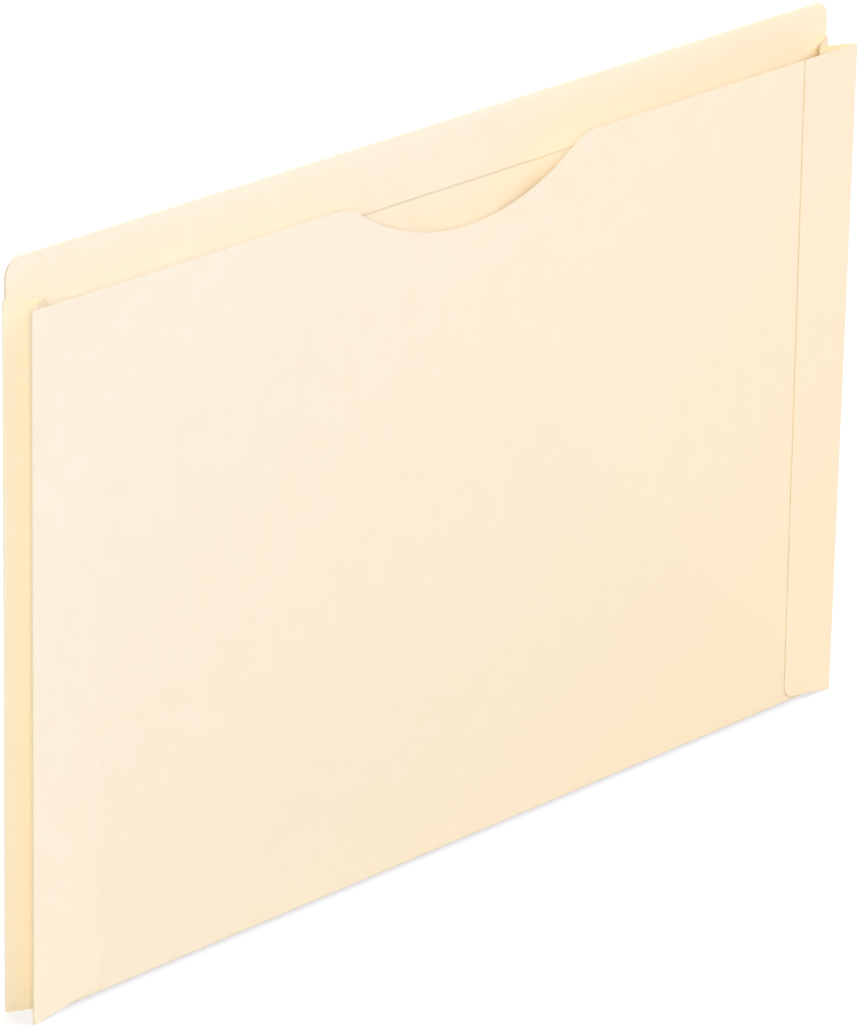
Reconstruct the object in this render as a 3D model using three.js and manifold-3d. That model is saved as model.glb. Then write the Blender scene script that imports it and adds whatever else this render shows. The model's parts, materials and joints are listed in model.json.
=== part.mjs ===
// Expanding file jacket of manila card, legal size, standing part way open.
// Millimetres: X along the width, Y from front to back, +Z up. The origin is on the
// ground, under the middle of the jacket.
import * as THREE from 'three';
import { mergeVertices } from 'three/addons/utils/BufferGeometryUtils.js';
import Module from 'manifold-3d';

// Card and glue
const cardThickness = 0.28;
const glueThickness = 0.06;

// The two panels, measured from fold to fold and from fold to top edge
const jacketWidth = 374.65;
const frontHeight = 228.6;
const tabHeight = 12.7;
const tabRadius = 6.35;

// Corners of the blank that hang below the bottom folds and carry the jacket
const cornerDrop = 1.5;
const cornerRun = 4;

// Second ply of the tab, folded down over the inside of the back panel
const plyHeight = 22.4;
const plyRelief = 4.4;
const plyReliefClearance = 0.6;
const tabGlueHeight = 18;
const tabGlueInset = 8;

// V gussets: each has two halves with a crease between them
const gussetHalf = 12.7;
const openAngle = THREE.MathUtils.degToRad(28);
const creaseGap = 0.2;
const mitreGap = 3;

// Thumb cut in the front panel's top edge
const thumbWidth = 117;
const thumbDepth = 18.3;
const thumbShoulder = 15.6;

// Glue flaps, lapped over the outside of the front panel
const flapWidths = {
  left: { top: 28, bottom: 27.7 },
  right: { top: 26.8, bottom: 24.2 },
};
const flapSlope = 0.15;
const flapCorner = 4;
const wrapGap = 0.3;
const seamWidth = 16;
const seamInset = 5;
const seamEndInset = 8;

const arcSegments = 24;

// Places that follow from the sizes above
const halfWidth = jacketWidth / 2;
const frontTop = cornerDrop + frontHeight;
const tabTop = frontTop + tabHeight;
const pivotX = halfWidth - cardThickness;
const pivotZ = cornerDrop + cardThickness;
const pocketDepth =
  2 * (gussetHalf * Math.sin(openAngle) + cardThickness * Math.cos(openAngle));
const frontStack = 2 * cardThickness + glueThickness;
const jacketDepth = cardThickness + pocketDepth + frontStack;

const backOuterY = jacketDepth / 2;
const backInnerY = backOuterY - cardThickness;
const frontInnerY = backInnerY - pocketDepth;
const frontOuterY = frontInnerY - cardThickness;
const flapInnerY = frontOuterY - glueThickness;

const right = new THREE.Vector3(1, 0, 0);
const up = new THREE.Vector3(0, 0, 1);

const wasm = await Module();
wasm.setup();

// An outline drawn in (u, v), given a thickness towards u x v and set at a place
function sheet(outline, thickness, place, u = right, v = up) {
  const geometry = new THREE.ExtrudeGeometry(outline, {
    depth: thickness,
    bevelEnabled: false,
    curveSegments: arcSegments,
  });
  const frame = new THREE.Matrix4().makeBasis(u, v, u.clone().cross(v));
  return geometry.applyMatrix4(frame.setPosition(place));
}

// A flat panel facing the front, whose rear face is at rearY
function panel(outline, thickness, rearY) {
  return sheet(outline, thickness, new THREE.Vector3(0, rearY, 0));
}

function box(low, high) {
  const size = new THREE.Vector3().subVectors(high, low);
  const middle = new THREE.Vector3().addVectors(low, high).multiplyScalar(0.5);
  return new THREE.BoxGeometry(size.x, size.y, size.z).translate(middle.x, middle.y, middle.z);
}

function solidOf(geometry) {
  const bare = new THREE.BufferGeometry();
  bare.setAttribute('position', geometry.getAttribute('position'));
  bare.setIndex(geometry.getIndex());
  const merged = mergeVertices(bare);
  return new wasm.Manifold(new wasm.Mesh({
    numProp: 3,
    vertProperties: new Float32Array(merged.getAttribute('position').array),
    triVerts: new Uint32Array(merged.getIndex().array),
  }));
}

// Two pieces of card that are one piece, such as a sheet and the fold at its edge
function joined(first, second) {
  const mesh = solidOf(first).add(solidOf(second)).getMesh();
  const geometry = new THREE.BufferGeometry();
  geometry.setAttribute('position', new THREE.BufferAttribute(mesh.vertProperties, 3));
  geometry.setIndex(new THREE.BufferAttribute(mesh.triVerts, 1));
  return geometry;
}

function polygon(points) {
  return new THREE.Shape(points.map(([x, y]) => new THREE.Vector2(x, y)));
}

function rectangle(left, bottom, rightEdge, top) {
  return polygon([[left, bottom], [rightEdge, bottom], [rightEdge, top], [left, top]]);
}

// The tab's rounded top corners, from the right edge over to the left edge
function roundTabCorners(shape, top) {
  const centreX = halfWidth - tabRadius;
  const centreZ = top - tabRadius;
  shape.lineTo(halfWidth, centreZ);
  shape.absarc(centreX, centreZ, tabRadius, 0, Math.PI / 2, false);
  shape.absarc(-centreX, centreZ, tabRadius, Math.PI / 2, Math.PI, false);
}

function backPanel() {
  const outline = new THREE.Shape();
  outline.moveTo(-halfWidth, 0);
  outline.lineTo(-halfWidth + cornerRun, cornerDrop);
  outline.lineTo(halfWidth - cornerRun, cornerDrop);
  outline.lineTo(halfWidth, 0);
  roundTabCorners(outline, tabTop - cardThickness);
  return panel(outline, cardThickness, backOuterY);
}

// The ply is relieved at its ends so that the side gussets can fold flat beside it
function tabFoldPly() {
  const reliefZ = frontTop + plyReliefClearance;
  const endX = halfWidth - plyRelief;
  const bottom = tabTop - plyHeight;
  const outline = new THREE.Shape();
  outline.moveTo(-halfWidth, reliefZ);
  outline.lineTo(-endX, reliefZ);
  outline.lineTo(-endX, bottom);
  outline.lineTo(endX, bottom);
  outline.lineTo(endX, reliefZ);
  outline.lineTo(halfWidth, reliefZ);
  roundTabCorners(outline, tabTop);
  const plyRearY = backInnerY - glueThickness;
  const foldX = halfWidth - tabRadius;
  const fold = box(
    new THREE.Vector3(-foldX, plyRearY - cardThickness / 2, tabTop - cardThickness),
    new THREE.Vector3(foldX, backOuterY, tabTop),
  );
  return joined(panel(outline, cardThickness, plyRearY), fold);
}

function tabGlueLine() {
  const endX = halfWidth - tabGlueInset;
  const top = tabTop - (plyHeight - tabGlueHeight) / 2;
  const outline = rectangle(-endX, top - tabGlueHeight, endX, top);
  return panel(outline, glueThickness, backInnerY);
}

// One half of a V gusset. It starts at its fold, on a panel's inner face, and runs to
// the crease: u goes along the fold and v from the fold to the crease.
function gussetHalfSheet(start, fold, run, outline) {
  return sheet(outline, cardThickness, start, fold, run);
}

// side is -1 for the left gusset and 1 for the right, face is 1 for the half on the back
// panel and -1 for the half on the front panel
function sideGussetHalf(side, face) {
  const startY = face > 0 ? backInnerY : frontInnerY;
  const run = new THREE.Vector3(
    -side * Math.cos(openAngle), -face * Math.sin(openAngle), 0,
  );
  const downwards = side * face < 0;
  const fold = up.clone().multiplyScalar(downwards ? -1 : 1);
  const start = new THREE.Vector3(side * pivotX, startY, downwards ? frontTop : 0);
  const outline = rectangle(0, creaseGap, frontTop, gussetHalf - creaseGap);
  return gussetHalfSheet(start, fold, run, outline);
}

// The bottom gusset's ends are mitred so that the side gussets fold clear of them
function bottomGussetHalf(face) {
  const startY = face > 0 ? backInnerY : frontInnerY;
  const run = new THREE.Vector3(0, -face * Math.sin(openAngle), Math.cos(openAngle));
  const fold = right.clone().multiplyScalar(face);
  const endAt = (distance) => pivotX - mitreGap - distance;
  const low = creaseGap;
  const high = gussetHalf - creaseGap;
  const outline = polygon([
    [-endAt(low), low], [endAt(low), low], [endAt(high), high], [-endAt(high), high],
  ]);
  return gussetHalfSheet(new THREE.Vector3(0, startY, pivotZ), fold, run, outline);
}

// The thumb cut is a wide shallow arc, which meets the top edge in rounded shoulders
function frontPanel() {
  const halfThumb = thumbWidth / 2;
  const thumbRadius = (halfThumb ** 2 + thumbDepth ** 2) / (2 * thumbDepth) - thumbShoulder;
  const centreZ = frontTop - thumbDepth + thumbRadius;
  const shoulderZ = frontTop - thumbShoulder;
  const lean = Math.atan2(halfThumb, centreZ - shoulderZ);
  const edgeX = pivotX - wrapGap;
  const outline = new THREE.Shape();
  outline.moveTo(-edgeX, cornerDrop);
  outline.lineTo(edgeX, cornerDrop);
  outline.lineTo(edgeX, frontTop);
  outline.lineTo(halfThumb, frontTop);
  outline.absarc(halfThumb, shoulderZ, thumbShoulder, Math.PI / 2, Math.PI / 2 + lean, false);
  outline.absarc(0, centreZ, thumbRadius, lean - Math.PI / 2, -lean - Math.PI / 2, true);
  outline.absarc(-halfThumb, shoulderZ, thumbShoulder, Math.PI / 2 - lean, Math.PI / 2, false);
  outline.lineTo(-edgeX, frontTop);
  return panel(outline, cardThickness, frontInnerY);
}

// A flap curls round the front panel's side edge from the gusset's front fold
function glueFlap(side, widths) {
  const freeTopX = halfWidth - widths.top;
  const freeBottomX = halfWidth - widths.bottom;
  const bottomAt = (x) => (halfWidth - x) * flapSlope;
  const cornerX = freeBottomX + flapCorner;
  const outline = new THREE.Shape();
  outline.moveTo(side * halfWidth, 0);
  outline.lineTo(side * halfWidth, frontTop);
  outline.lineTo(side * freeTopX, frontTop);
  outline.lineTo(side * freeBottomX, bottomAt(freeBottomX) + flapCorner);
  outline.quadraticCurveTo(
    side * freeBottomX, bottomAt(freeBottomX), side * cornerX, bottomAt(cornerX),
  );
  const ends = [side * halfWidth, side * pivotX].sort((a, b) => a - b);
  const curl = box(
    new THREE.Vector3(ends[0], flapInnerY - cardThickness / 2, 0),
    new THREE.Vector3(ends[1], frontInnerY, frontTop),
  );
  return joined(panel(outline, cardThickness, flapInnerY), curl);
}

function seamGlue(side) {
  const outerX = side * (halfWidth - seamInset);
  const innerX = outerX - side * seamWidth;
  const outline = rectangle(
    Math.min(outerX, innerX), seamEndInset, Math.max(outerX, innerX), frontTop - seamEndInset,
  );
  return panel(outline, glueThickness, frontOuterY);
}

const cardColor = 0xffeed4;
const cardInsideColor = 0xfff0d8;
const glueColor = 0xf4efe0;

function piece(name, geometry, color, roughness) {
  const material = new THREE.MeshStandardMaterial({ color, roughness, metalness: 0 });
  const mesh = new THREE.Mesh(geometry, material);
  mesh.name = name;
  return mesh;
}

const card = (name, geometry) => piece(name, geometry, cardColor, 0.72);
const insideCard = (name, geometry) => piece(name, geometry, cardInsideColor, 0.72);
const glue = (name, geometry) => piece(name, geometry, glueColor, 0.4);

const group = new THREE.Group();
group.add(
  card('back_panel', backPanel()),
  insideCard('tab_fold_ply', tabFoldPly()),
  glue('tab_glue_line', tabGlueLine()),
  card('left_gusset_rear', sideGussetHalf(-1, 1)),
  card('left_gusset_front', sideGussetHalf(-1, -1)),
  card('right_gusset_rear', sideGussetHalf(1, 1)),
  card('right_gusset_front', sideGussetHalf(1, -1)),
  card('bottom_gusset_rear', bottomGussetHalf(1)),
  card('bottom_gusset_front', bottomGussetHalf(-1)),
  card('front_panel', frontPanel()),
  card('left_glue_flap', glueFlap(-1, flapWidths.left)),
  card('right_glue_flap', glueFlap(1, flapWidths.right)),
  glue('left_seam_glue', seamGlue(-1)),
  glue('right_seam_glue', seamGlue(1)),
);

export default group;
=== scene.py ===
import json
import math
import bmesh
import bpy
from mathutils import Matrix, Vector


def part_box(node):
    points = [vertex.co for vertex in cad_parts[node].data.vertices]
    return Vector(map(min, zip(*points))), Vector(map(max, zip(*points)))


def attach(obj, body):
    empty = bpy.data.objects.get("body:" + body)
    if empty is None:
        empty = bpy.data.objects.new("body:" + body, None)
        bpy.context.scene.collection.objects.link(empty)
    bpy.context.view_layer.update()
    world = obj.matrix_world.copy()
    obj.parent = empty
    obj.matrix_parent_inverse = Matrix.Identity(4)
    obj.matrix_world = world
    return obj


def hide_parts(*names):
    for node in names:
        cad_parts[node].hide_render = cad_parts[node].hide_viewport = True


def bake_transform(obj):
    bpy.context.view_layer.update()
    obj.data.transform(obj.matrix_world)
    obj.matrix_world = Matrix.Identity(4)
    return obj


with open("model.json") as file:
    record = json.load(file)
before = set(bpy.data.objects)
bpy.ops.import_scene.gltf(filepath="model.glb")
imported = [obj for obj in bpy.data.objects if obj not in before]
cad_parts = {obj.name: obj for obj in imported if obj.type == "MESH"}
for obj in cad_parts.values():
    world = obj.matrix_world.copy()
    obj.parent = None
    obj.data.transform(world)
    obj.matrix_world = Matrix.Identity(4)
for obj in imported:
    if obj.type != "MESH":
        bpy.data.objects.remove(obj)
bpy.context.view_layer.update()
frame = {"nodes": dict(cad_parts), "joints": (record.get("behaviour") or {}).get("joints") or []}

mm = 0.001

# Places of the CAD, in metres. The jacket's front looks along -Y.
backLow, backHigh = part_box("back_panel")
plyLow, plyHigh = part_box("tab_fold_ply")
frontLow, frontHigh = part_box("front_panel")
leftFlapLow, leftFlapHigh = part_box("left_glue_flap")
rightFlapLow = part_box("right_glue_flap")[0]

halfWidth = backHigh.x
tabTop = plyHigh.z
frontTop = frontHigh.z
cornerDrop = frontLow.z
backInner, backOuter = backLow.y, backHigh.y
card = backOuter - backInner
frontInner = frontHigh.y
flapInner = leftFlapLow.y + card

pivots = {joint["name"]: Vector(joint["pos_m"]) for joint in frame["joints"]}
rearPivot, midPivot = pivots["left_rear_crease"], pivots["left_mid_crease"]
pivotX = -rearPivot.x
pivotZ = pivots["bottom_rear_crease"].z
foldedSpan = (midPivot - rearPivot).to_2d()
openAngle = math.atan2(-foldedSpan.y, foldedSpan.x) - math.asin(card / foldedSpan.length)
cosOpen, sinOpen = math.cos(openAngle), math.sin(openAngle)

# What the folds share
folds = {
    "panel": 0.1 * mm,      # inside radius where a panel turns into a gusset
    "wrap": 0.3 * mm,       # inside radius where a flap turns round the front panel's edge
    "crease": 0.35 * mm,    # pocket-side radius of a gusset's middle crease
    "support": 0.3 * mm,    # narrow flat beside each fold, which keeps its shading local
    "steps": 10,
    "cornerRun": 4 * mm,    # length of the corners that hang below the bottom folds
}
bottomEnd = halfWidth - folds["cornerRun"]

# Where painted shade, standing in for light bounced inside the folds, makes the card yellower
# towards the gussets' middle creases, which lie close to the jacket's middle plane
paintedCreaseBand = {
    "start": 6 * mm,        # distance from that plane
    "full": 4.2 * mm,
    "strip": 4 * mm,        # the width of a gusset half that this takes up
}

weldGap = 0.001 * mm        # points closer than this are one
cutSnap = 0.0001 * mm       # points closer than this to a cut lie on it
smoothUpTo = 35             # degrees between two faces that still shade as one


def isVert(part):
    return isinstance(part, bmesh.types.BMVert)


def isEdge(part):
    return isinstance(part, bmesh.types.BMEdge)


def foldLine(bm, start, end):
    return [bm.edges.new([bm.verts.new(start), bm.verts.new(end)])]


# Carries a line of edges on by a step, as card unrolled from it
def carryOn(bm, edges, step):
    grown = bmesh.ops.extrude_edge_only(bm, edges=edges)["geom"]
    verts = [part for part in grown if isVert(part)]
    bmesh.ops.translate(bm, verts=verts, vec=step)
    return [part for part in grown if isEdge(part) and all(v in verts for v in part.verts)]


# Carries a line of edges round a fold
def foldOn(bm, edges, centre, angle, axis=(0, 0, 1)):
    around = list({v for edge in edges for v in edge.verts}) + list(edges)
    last = bmesh.ops.spin(bm, geom=around, cent=centre, axis=axis, angle=angle,
                          steps=folds["steps"], use_merge=False, use_duplicate=False)
    return [part for part in last["geom_last"] if isEdge(part)]


# An outline is drawn as by a pen, anticlockwise as seen from the front
def penTo(bm, tip, x, z):
    new = bmesh.ops.extrude_vert_indiv(bm, verts=[tip])["verts"][0]
    new.co = (x, tip.co.y, z)
    return new


def penRound(bm, tip, x, z, angle, steps):
    last = bmesh.ops.spin(bm, geom=[tip], cent=(x, tip.co.y, z), axis=(0, -1, 0), angle=angle,
                          steps=steps, use_merge=False, use_duplicate=False)
    return next(part for part in last["geom_last"] if isVert(part))


def fillOutline(bm):
    bmesh.ops.remove_doubles(bm, verts=bm.verts[:], dist=weldGap)
    bmesh.ops.contextual_create(bm, geom=bm.edges[:])


def cutAway(bm, place, outward):
    bmesh.ops.bisect_plane(bm, geom=bm.verts[:] + bm.edges[:] + bm.faces[:], dist=cutSnap,
                           plane_co=place, plane_no=outward, clear_outer=True)


# How much painted crease shade the card gets, from 0 to 1, at a place y in front of or
# behind the jacket's middle plane
def paintedCreaseShade(y):
    yellowed = (paintedCreaseBand["start"] - abs(y)) / (paintedCreaseBand["start"] - paintedCreaseBand["full"])
    return min(max(yellowed, 0), 1)


# A finished piece of card. The surface that was drawn faces one way, and the card's
# thickness goes the other way.
def cardPiece(name, bm, facing, place=Matrix()):
    bmesh.ops.remove_doubles(bm, verts=bm.verts[:], dist=weldGap)
    bmesh.ops.transform(bm, matrix=place, verts=bm.verts[:])
    bmesh.ops.recalc_face_normals(bm, faces=bm.faces[:])
    widest = max(bm.faces, key=lambda face: face.calc_area())
    if widest.normal.dot(Vector(facing)) < 0:
        bmesh.ops.reverse_faces(bm, faces=bm.faces[:])
    drawn = bpy.data.meshes.new(name)
    bm.to_mesh(drawn)
    bm.free()
    drawn.materials.append(manilaCard)
    drawn.materials.append(cutEdge)
    piece = bpy.data.objects.new(name, drawn)
    bpy.context.scene.collection.objects.link(piece)
    thick = piece.modifiers.new("thickness", "SOLIDIFY")
    thick.thickness = card
    thick.offset = -1
    thick.use_even_offset = True
    thick.material_offset_rim = 1
    depsgraph = bpy.context.evaluated_depsgraph_get()
    piece.data = bpy.data.meshes.new_from_object(piece.evaluated_get(depsgraph))
    piece.modifiers.clear()
    bpy.data.meshes.remove(drawn)
    piece.data.name = name
    piece.data.polygons.foreach_set("use_smooth", [True] * len(piece.data.polygons))
    piece.data.set_sharp_from_angle(angle=math.radians(smoothUpTo))
    # Painted crease shade, kept on each point for the material
    shade = piece.data.attributes.new("paintedCreaseShade", "FLOAT", "POINT")
    shade.data.foreach_set("value", [paintedCreaseShade(v.co.y) for v in piece.data.vertices])
    return piece


def linear(hexColour):
    channels = [int(hexColour[i:i + 2], 16) / 255 for i in (1, 3, 5)]
    return [c / 12.92 if c <= 0.04045 else ((c + 0.055) / 1.055) ** 2.4
            for c in channels] + [1]


def addNode(tree, kind, settings={}, values={}, links={}):
    node = tree.nodes.new(kind)
    for key, value in settings.items():
        setattr(node, key, value)
    for key, value in values.items():
        node.inputs[key].default_value = value
    for key, source in links.items():
        tree.links.new(source, node.inputs[key])
    return node


def newMaterial(name):
    material = bpy.data.materials.new(name)
    material.use_nodes = True
    material.node_tree.nodes.clear()
    return material, material.node_tree


print("materials")
colourA, colourB, mixedColour = 6, 7, 2     # the Mix node's colour sockets

# Manila card is calendered wood-pulp board: an even warm cream, matt with a faint sheen.
# It gives the eye soft cloudy pulp, short darker fibres and a very fine tooth. Its shade
# Painted shade makes it a little yellower towards the right end and the bottom, where light
# falls off, and towards the gussets' middle creases, as bounced light in the folds would.
cardLook = {
    "cream": "#fcf1d9",
    "pulp": "#fbefd5",
    # the painted shade's colour, for light that falls off and light bounced in the creases
    "paintedShadeColour": "#fbe7c0",
    "fibre": "#eed8b0",
    "cloud": 9 * mm,            # clumps of pulp
    "cloudRange": (0.35, 0.65),
    "paintedFalloff": (1.8, 0, -2.2),    # how fast the painted falloff of light grows, per metre
    "paintedFalloffRange": (-0.7, 0.3),
    "paintedCreaseAmount": 0.42,       # how much painted shade colour a gusset has at its crease
    "fibreSize": 1.4 * mm,      # drawn wider than real fibres, so that they show
    "fibreRange": (0.6, 0.75),
    "fibreAmount": 0.25,
    "fibreCurl": 1.6,
    "tooth": 0.4 * mm,
    "toothDepth": 0.008 * mm,
    "toothStrength": 0.5,
    "roughness": 0.6,
    "refraction": 1.45,
}

# The cut edge shows the board's core: rougher, and dulled by handling, so that it reads
# as a thin darker line
edgeLook = dict(cardLook, cream="#f1e1c6", pulp="#e9d5b4", paintedShadeColour="#eddabb", roughness=0.85,
                cloud=1.5 * mm, toothDepth=0.02 * mm)


def mapRange(tree, span, source, top=1):
    return addNode(tree, "ShaderNodeMapRange", {},
                   {"From Min": span[0], "From Max": span[1], "To Max": top},
                   {"Value": source})


def cardMaterial(name, look):
    material, tree = newMaterial(name)
    place = addNode(tree, "ShaderNodeTexCoord").outputs["Object"]
    cloud = addNode(tree, "ShaderNodeTexNoise", {},
                    {"Scale": 1 / look["cloud"], "Detail": 4}, {"Vector": place})
    cloudy = mapRange(tree, look["cloudRange"], cloud.outputs["Fac"])
    pulp = addNode(tree, "ShaderNodeMix", {"data_type": "RGBA"},
                   {colourA: linear(look["cream"]), colourB: linear(look["pulp"])},
                   {0: cloudy.outputs["Result"]})
    # Painted shade: yellower towards the right end and the bottom, where light falls off, and
    # towards the gussets' creases, where light bounces inside the folds
    paintedFalloff = addNode(tree, "ShaderNodeVectorMath", {"operation": "DOT_PRODUCT"},
                    {1: look["paintedFalloff"]}, {0: place})
    paintedFalloffAmount = mapRange(tree, look["paintedFalloffRange"], paintedFalloff.outputs["Value"])
    creased = addNode(tree, "ShaderNodeAttribute", {"attribute_name": "paintedCreaseShade"})
    paintedShadeMix = addNode(tree, "ShaderNodeMath",
                     {"operation": "MULTIPLY_ADD", "use_clamp": True},
                     {1: look["paintedCreaseAmount"]},
                     {0: creased.outputs["Fac"], 2: paintedFalloffAmount.outputs["Result"]})
    paintedShadeColour = addNode(tree, "ShaderNodeMix", {"data_type": "RGBA"},
                   {colourB: linear(look["paintedShadeColour"])},
                   {0: paintedShadeMix.outputs["Value"], colourA: pulp.outputs[mixedColour]})
    strands = addNode(tree, "ShaderNodeTexNoise", {},
                      {"Scale": 1 / look["fibreSize"], "Detail": 3,
                       "Distortion": look["fibreCurl"]}, {"Vector": place})
    sparse = mapRange(tree, look["fibreRange"], strands.outputs["Fac"], look["fibreAmount"])
    fibred = addNode(tree, "ShaderNodeMix", {"data_type": "RGBA"},
                     {colourB: linear(look["fibre"])},
                     {0: sparse.outputs["Result"], colourA: paintedShadeColour.outputs[mixedColour]})
    tooth = addNode(tree, "ShaderNodeTexNoise", {},
                    {"Scale": 1 / look["tooth"], "Detail": 2}, {"Vector": place})
    bump = addNode(tree, "ShaderNodeBump", {},
                   {"Strength": look["toothStrength"], "Distance": look["toothDepth"]},
                   {"Height": tooth.outputs["Fac"]})
    shader = addNode(tree, "ShaderNodeBsdfPrincipled", {},
                     {"Roughness": look["roughness"], "IOR": look["refraction"]},
                     {"Base Color": fibred.outputs[mixedColour],
                      "Normal": bump.outputs["Normal"]})
    addNode(tree, "ShaderNodeOutputMaterial", {}, {}, {"Surface": shader.outputs["BSDF"]})
    return material


manilaCard = cardMaterial("calendered_manila_card", cardLook)
cutEdge = cardMaterial("sheared_card_edge", edgeLook)

# Dried paper adhesive: a thin hazy film, smoother and shinier than the card
glueLook = {
    "clear": "#efe6cf",
    "hazy": "#f7f2e4",
    "streak": 6 * mm,
    "streakCurl": 0.8,
    "ripple": 1.2 * mm,
    "rippleDepth": 0.02 * mm,
    "rippleStrength": 0.6,
    "roughness": 0.35,
    "refraction": 1.47,
}


def glueMaterial(name, look):
    material, tree = newMaterial(name)
    place = addNode(tree, "ShaderNodeTexCoord").outputs["Object"]
    streak = addNode(tree, "ShaderNodeTexNoise", {},
                     {"Scale": 1 / look["streak"], "Detail": 3,
                      "Distortion": look["streakCurl"]}, {"Vector": place})
    film = addNode(tree, "ShaderNodeMix", {"data_type": "RGBA"},
                   {colourA: linear(look["clear"]), colourB: linear(look["hazy"])},
                   {0: streak.outputs["Fac"]})
    ripple = addNode(tree, "ShaderNodeTexNoise", {},
                     {"Scale": 1 / look["ripple"]}, {"Vector": place})
    bump = addNode(tree, "ShaderNodeBump", {},
                   {"Strength": look["rippleStrength"], "Distance": look["rippleDepth"]},
                   {"Height": ripple.outputs["Fac"]})
    shader = addNode(tree, "ShaderNodeBsdfPrincipled", {},
                     {"Roughness": look["roughness"], "IOR": look["refraction"]},
                     {"Base Color": film.outputs[mixedColour],
                      "Normal": bump.outputs["Normal"]})
    addNode(tree, "ShaderNodeOutputMaterial", {}, {}, {"Surface": shader.outputs["BSDF"]})
    return material


driedGlue = glueMaterial("dried_paper_adhesive", glueLook)
for name in ("tab_glue_line", "left_seam_glue", "right_seam_glue"):
    frame["nodes"][name].material_slots[0].material = driedGlue


print("gusset folds")
# A fold is drawn beside its pivot line: x goes into the jacket, y to its back, z along
# the fold. These place it at the left side, the right side and the bottom.
leftSide = Matrix.Translation((-pivotX, 0, 0))
rightSide = Matrix.Translation((pivotX, 0, 0)) @ Matrix.Diagonal((-1, 1, 1, 1))
underside = Matrix(((0, 0, 1, 0), (0, 1, 0, 0), (1, 0, 0, pivotZ), (0, 0, 0, 1)))

towardsCrease = Vector((cosOpen, -sinOpen, 0))
towardsFront = Vector((-cosOpen, -sinOpen, 0))
acrossHalf = Vector((-sinOpen, -cosOpen, 0))
halfLength = (backInner - midPivot.y) / sinOpen
creaseReach = folds["crease"] / math.tan(openAngle)
panelReach = folds["panel"] / math.tan(openAngle / 2)
turned = math.pi - openAngle


# The fold out of the back panel and the gusset half up to the middle crease
def rearHalf(bm, low, high):
    line = foldLine(bm, (panelReach, backInner, low), (panelReach, backInner, high))
    line = foldOn(bm, line, (panelReach, backInner - folds["panel"], 0), turned)
    line = carryOn(bm, line, towardsCrease * folds["support"])
    line = carryOn(bm, line, towardsCrease * paintedCreaseBand["strip"])
    flat = halfLength - panelReach - creaseReach - folds["support"] - paintedCreaseBand["strip"]
    carryOn(bm, line, towardsCrease * flat)


# Where a gusset's front half turns into the front panel or the flap: the fold's centre
# and how far from the pivot line the fold starts
def frontFold(targetY, radius):
    centreY = targetY + radius
    centreX = (radius + (centreY - frontInner) * cosOpen) / sinOpen
    reach = centreX * cosOpen + (centreY - frontInner) * sinOpen
    return Vector((centreX, centreY, 0)), reach


wrapCentre, wrapReach = frontFold(flapInner, folds["wrap"])
curlCentre, curlReach = frontFold(frontInner, folds["panel"])


# The middle crease and the gusset half up to the front fold
def frontHalf(bm, low, high, frontReach):
    start = Vector((0, backInner, 0)) + towardsCrease * (halfLength - creaseReach)
    centre = start + acrossHalf * folds["crease"]
    line = foldLine(bm, (start.x, start.y, low), (start.x, start.y, high))
    line = foldOn(bm, line, centre, 2 * openAngle - math.pi)
    line = carryOn(bm, line, towardsFront * folds["support"])
    flat = halfLength - creaseReach - frontReach - 2 * folds["support"] - paintedCreaseBand["strip"]
    line = carryOn(bm, line, towardsFront * flat)
    line = carryOn(bm, line, towardsFront * paintedCreaseBand["strip"])
    return carryOn(bm, line, towardsFront * folds["support"])


def blendAcross(piece, bodyA, bodyB, startY, endY):
    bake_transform(piece)


# Spans in y across each crease, from one body's side to the other's
rearBlend = backInner + 0.1 * mm, backInner - 0.3 * mm
midBlend = midPivot.y + 0.5 * mm, midPivot.y - 0.5 * mm
frontBlend = frontInner + 0.3 * mm, frontInner - 0.2 * mm

for side, place in (("left", leftSide), ("right", rightSide)):
    bm = bmesh.new()
    rearHalf(bm, 0, frontTop)
    piece = cardPiece(side + "GussetRear", bm, (0, 1, 0), place)
    blendAcross(piece, "back", side + "_gusset_rear", *rearBlend)
    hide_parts(side + "_gusset_rear")

    bm = bmesh.new()
    line = frontHalf(bm, 0, frontTop, wrapReach)
    if side == "right":
        foldOn(bm, line, wrapCentre, math.pi / 2 - openAngle)
    piece = cardPiece(side + "GussetFront", bm, (0, -1, 0), place)
    blendAcross(piece, side + "_gusset_rear", side + "_gusset_front", *midBlend)
    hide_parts(side + "_gusset_front")

# The bottom gusset's ends are mitred, so that the side gussets fold clear of them
mitreGap = 3 * mm


def mitreEnds(bm):
    for end in (-1, 1):
        cutAway(bm, (0, 0, end * (pivotX - mitreGap)), (1 / cosOpen, 0, end))


bm = bmesh.new()
rearHalf(bm, -bottomEnd, bottomEnd)
mitreEnds(bm)
piece = cardPiece("bottomGussetRear", bm, (0, 1, 0), underside)
blendAcross(piece, "back", "bottom_gusset_rear", *rearBlend)
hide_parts("bottom_gusset_rear")

bm = bmesh.new()
frontHalf(bm, -bottomEnd, bottomEnd, curlReach)
mitreEnds(bm)
piece = cardPiece("bottomGussetFront", bm, (0, -1, 0), underside)
blendAcross(piece, "bottom_gusset_rear", "bottom_gusset_front", *midBlend)
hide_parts("bottom_gusset_front")


print("glue flaps")
flaps = {
    "left": {"top": leftFlapHigh.x + pivotX, "narrower": 0.3 * mm},
    "right": {"top": pivotX - rightFlapLow.x, "narrower": 2.6 * mm},
    "slope": 0.15,              # rise of the lower end, from the fold to the free edge
    "room": 20,                 # degrees left open in the right fold, for closing
    "corner": 4 * mm,
    "cornerSteps": 8,
}


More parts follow.
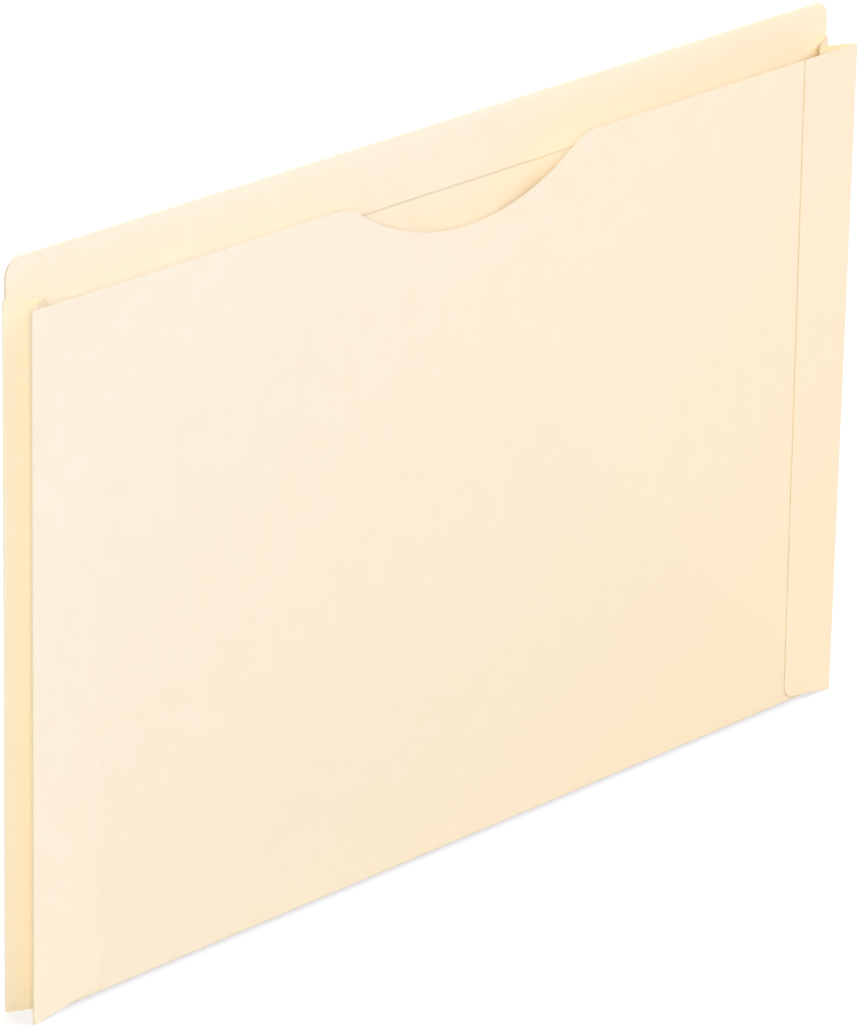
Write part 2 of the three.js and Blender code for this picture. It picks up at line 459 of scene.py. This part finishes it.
def glueFlap(bm, line, turn, size):
    line = foldOn(bm, line, wrapCentre, turn)
    line = carryOn(bm, line, (folds["support"], 0, 0))
    carryOn(bm, line, (size["top"], 0, 0))
    cutAway(bm, (-card, 0, 0), (flaps["slope"], 0, -1))
    cutAway(bm, (size["top"], 0, frontTop), (frontTop, 0, -size["narrower"]))
    lowCorner = min((v for v in bm.verts if v.co.x > size["top"] - 2 * size["narrower"]),
                    key=lambda v: v.co.z)
    bmesh.ops.bevel(bm, geom=[lowCorner], offset=flaps["corner"], affect="VERTICES",
                    segments=flaps["cornerSteps"], profile=0.5, material=-1)


# The left flap turns with its gusset at the fold. The right one starts past the middle of
# the fold, because its gusset is joined to the back alone and turns towards it.
bm = bmesh.new()
start = Vector((0, frontInner, 0)) - towardsFront * wrapReach
line = foldLine(bm, (start.x, start.y, 0), (start.x, start.y, frontTop))
glueFlap(bm, line, turned, flaps["left"])
piece = cardPiece("leftGlueFlap", bm, (0, 1, 0), leftSide)
blendAcross(piece, "left_gusset_front", "front", *frontBlend)
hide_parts("left_glue_flap")

bm = bmesh.new()
turn = math.pi / 2 - math.radians(flaps["room"])
start = wrapCentre - Vector((math.sin(turn), math.cos(turn), 0)) * folds["wrap"]
line = foldLine(bm, (start.x, start.y, 0), (start.x, start.y, frontTop))
glueFlap(bm, line, turn, flaps["right"])
piece = cardPiece("rightGlueFlap", bm, (0, 1, 0), rightSide)
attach(piece, "front")
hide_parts("right_glue_flap")


print("back and tab")
tab = {
    "inset": 1.4 * mm,                      # its ends stand in from the jacket's sides
    "radius": 6.35 * mm,
    "steps": 12,
    "bead": (backOuter - plyLow.y) / 2,     # outside radius of the fold along its top
    "relief": 4.4 * mm,                     # the ply is cut back beside the gussets
    "reliefStart": 0.1 * mm,                # above the gussets' tops
    "cornerMargin": 0.1 * mm,               # how far the fold runs into the corners
}
foldZ = pivotZ + panelReach
sideX = pivotX - panelReach
tabSide = halfWidth - tab["inset"]
beadZ = tabTop - tab["bead"]
cornerZ = tabTop - tab["radius"]
cornerTurn = math.asin((tab["radius"] - tab["bead"]) / tab["radius"])


def drawTabTop(bm, tip):
    tip = penTo(bm, tip, tabSide, cornerZ)
    tip = penRound(bm, tip, tabSide - tab["radius"], cornerZ, cornerTurn, tab["steps"])
    tip = penTo(bm, tip, tabSide - tab["radius"], beadZ)
    tip = penTo(bm, tip, tab["radius"] - tabSide, beadZ)
    endX = tabSide - tab["radius"] * (1 - math.cos(cornerTurn))
    tip = penTo(bm, tip, -endX, beadZ)
    return penRound(bm, tip, tab["radius"] - tabSide, cornerZ, cornerTurn, tab["steps"])


bm = bmesh.new()
sideLow = cornerDrop * (halfWidth - sideX) / folds["cornerRun"]
tip = bm.verts.new((-sideX, backInner, sideLow))
for x, z in ((-bottomEnd, cornerDrop), (-bottomEnd, foldZ), (bottomEnd, foldZ),
             (bottomEnd, cornerDrop), (sideX, sideLow), (sideX, frontTop),
             (tabSide, frontTop)):
    tip = penTo(bm, tip, x, z)
tip = drawTabTop(bm, tip)
for x, z in ((-tabSide, frontTop), (-sideX, frontTop), (-sideX, sideLow)):
    tip = penTo(bm, tip, x, z)
fillOutline(bm)
piece = cardPiece("backPanel", bm, (0, -1, 0))
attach(piece, "back")
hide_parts("back_panel")

# The tab's second ply comes over the top in one fold, which ends where the round corners
# cut into it
bm = bmesh.new()
plyEnd = halfWidth - tab["relief"]
plyRelief = frontTop + tab["reliefStart"]
tip = bm.verts.new((-tabSide, plyLow.y, plyRelief))
for x, z in ((-plyEnd, frontTop - tab["relief"]), (-plyEnd, plyLow.z), (plyEnd, plyLow.z),
             (plyEnd, frontTop - tab["relief"]), (tabSide, plyRelief)):
    tip = penTo(bm, tip, x, z)
tip = drawTabTop(bm, tip)
penTo(bm, tip, -tabSide, plyRelief)
fillOutline(bm)
topEdges = [edge for edge in bm.edges if all(v.co.z > beadZ - weldGap for v in edge.verts)]
beadCentre = (0, plyLow.y + tab["bead"], beadZ)
foldOn(bm, topEdges, beadCentre, math.pi, (-1, 0, 0))
for vert in bm.verts:
    if abs(vert.co.x) > tabSide - tab["radius"] + tab["cornerMargin"]:
        vert.co.z = min(vert.co.z, beadZ)
piece = cardPiece("tabPly", bm, (0, -1, 0))
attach(piece, "back")
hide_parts("tab_fold_ply")


print("front")
thumb = {
    "width": 117 * mm,
    "depth": 18.3 * mm,
    "shoulder": 15.6 * mm,
    "shoulderSteps": 8,
    "arcSteps": 40,
}
halfThumb = thumb["width"] / 2
arcRadius = (halfThumb ** 2 + thumb["depth"] ** 2) / (2 * thumb["depth"]) - thumb["shoulder"]
arcZ = frontTop - thumb["depth"] + arcRadius
shoulderZ = frontTop - thumb["shoulder"]
lean = math.atan2(halfThumb, arcZ - shoulderZ)
frontEdge = pivotX - wrapCentre.x

bm = bmesh.new()
tip = bm.verts.new((-frontEdge, frontInner, cornerDrop))
for x, z in ((-bottomEnd, cornerDrop), (-bottomEnd, foldZ), (bottomEnd, foldZ),
             (bottomEnd, cornerDrop), (frontEdge, cornerDrop), (frontEdge, frontTop),
             (halfThumb, frontTop)):
    tip = penTo(bm, tip, x, z)
tip = penRound(bm, tip, halfThumb, shoulderZ, lean, thumb["shoulderSteps"])
tip = penRound(bm, tip, 0, arcZ, -2 * lean, thumb["arcSteps"])
tip = penRound(bm, tip, -halfThumb, shoulderZ, lean, thumb["shoulderSteps"])
for x, z in ((-frontEdge, frontTop), (-frontEdge, cornerDrop)):
    tip = penTo(bm, tip, x, z)
fillOutline(bm)
bottomEdge = [edge for edge in bm.edges
              if all(abs(v.co.z - foldZ) < weldGap for v in edge.verts)]
foldOn(bm, bottomEdge, (0, curlCentre.y, foldZ), math.pi / 2, (1, 0, 0))
piece = cardPiece("frontPanel", bm, (0, 1, 0))
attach(piece, "front")
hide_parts("front_panel")


print("stage and light")
stage = {
    "floorSize": 14,
    "floor": "#a0a0a0",
    "glow": 0.66,           # what the floor shows the camera over its own reflection
    "sky": 0.2,             # the light that comes from all around
    "white": 1.0,           # what the camera sees behind the jacket
}
bm = bmesh.new()
bmesh.ops.create_grid(bm, x_segments=1, y_segments=1, size=stage["floorSize"] / 2)
floorMesh = bpy.data.meshes.new("floor")
bm.to_mesh(floorMesh)
bm.free()
floor = bpy.data.objects.new("floor", floorMesh)
bpy.context.scene.collection.objects.link(floor)


# 1 where the camera sees a thing, also in gloss or through glass, and 0 where it only gives
# light
def seenItself(tree):
    path = addNode(tree, "ShaderNodeLightPath")
    seen = addNode(tree, "ShaderNodeMath", {"operation": "MAXIMUM"}, {},
                   {0: path.outputs["Is Camera Ray"], 1: path.outputs["Is Glossy Ray"]})
    seen = addNode(tree, "ShaderNodeMath", {"operation": "MAXIMUM"}, {},
                   {0: seen.outputs["Value"], 1: path.outputs["Is Transmission Ray"]})
    return seen.outputs["Value"]


# Matt white paper sweep. It shows white where nothing shades it.
paperSweep, tree = newMaterial("matt_paper_sweep")
glow = addNode(tree, "ShaderNodeMath", {"operation": "MULTIPLY"}, {1: stage["glow"]},
               {0: seenItself(tree)})
matt = addNode(tree, "ShaderNodeBsdfDiffuse", {}, {"Color": linear(stage["floor"])})
glowing = addNode(tree, "ShaderNodeEmission", {}, {}, {"Strength": glow.outputs["Value"]})
both = addNode(tree, "ShaderNodeAddShader", {}, {},
               {0: matt.outputs["BSDF"], 1: glowing.outputs["Emission"]})
addNode(tree, "ShaderNodeOutputMaterial", {}, {}, {"Surface": both.outputs["Shader"]})
floorMesh.materials.append(paperSweep)

world = bpy.data.worlds.new("softbox_room")
world.use_nodes = True
tree = world.node_tree
tree.nodes.clear()
strength = addNode(tree, "ShaderNodeMapRange", {},
                   {"To Min": stage["sky"], "To Max": stage["white"]},
                   {"Value": seenItself(tree)})
sky = addNode(tree, "ShaderNodeBackground", {}, {"Color": (1, 1, 1, 1)},
              {"Strength": strength.outputs["Result"]})
addNode(tree, "ShaderNodeOutputWorld", {}, {}, {"Surface": sky.outputs["Background"]})
bpy.context.scene.world = world

# Each softbox's bearing from the front, its height above the horizon and the angle that it
# takes up as the jacket sees it, all in degrees, and how much light it gives. The right one
# is daylight, and the front and left ones are a little warm.
softboxes = {
    "frontSoftbox": {"bearing": -47, "height": 23, "energy": 2.04, "angle": 20,
                     "colour": "#fffef7"},
    "leftSoftbox": {"bearing": -90, "height": 18, "energy": 0.2, "angle": 50,
                    "colour": "#fffff6"},
    "rightSoftbox": {"bearing": 48, "height": 46, "energy": 2.42, "angle": 30,
                     "colour": "#e8e7ff"},
    "rearSoftbox": {"bearing": 160, "height": 30, "energy": 2.3, "angle": 60,
                    "colour": "#ffffff"},
}
for name, box in softboxes.items():
    lamp = bpy.data.lights.new(name, "SUN")
    lamp.energy = box["energy"]
    lamp.angle = math.radians(box["angle"])
    lamp.color = linear(box["colour"])[:3]
    lampObject = bpy.data.objects.new(name, lamp)
    lampObject.matrix_world = (
        Matrix.Rotation(math.radians(box["bearing"]), 4, "Z")
        @ Matrix.Rotation(math.radians(90 - box["height"]), 4, "X"))
    bpy.context.scene.collection.objects.link(lampObject)

# The photograph's viewing angle, solved from the jacket's straight edges
shot = {
    "turn": 47.22,              # degrees to the left of the front
    "tilt": 21.57,              # degrees above the horizon
    "roll": 1.18,
    "distance": 2149.1 * mm,
    "aim": (5.15 * mm, 6.2 * mm),       # the picture's centre, left of and under the middle
    "middle": 120 * mm,
    "lens": 237.7,
}
camera = bpy.data.cameras.new("camera")
camera.lens = shot["lens"]
cameraObject = bpy.data.objects.new("camera", camera)
aimX, aimY = shot["aim"]
cameraObject.matrix_world = (
    Matrix.Translation((0, 0, shot["middle"]))
    @ Matrix.Rotation(math.radians(-shot["turn"]), 4, "Z")
    @ Matrix.Rotation(math.radians(90 - shot["tilt"]), 4, "X")
    @ Matrix.Rotation(math.radians(shot["roll"]), 4, "Z")
    @ Matrix.Translation((-aimX, -aimY, shot["distance"])))
bpy.context.scene.collection.objects.link(cameraObject)
bpy.context.scene.camera = cameraObject
bpy.context.scene.view_settings.view_transform = "Standard"
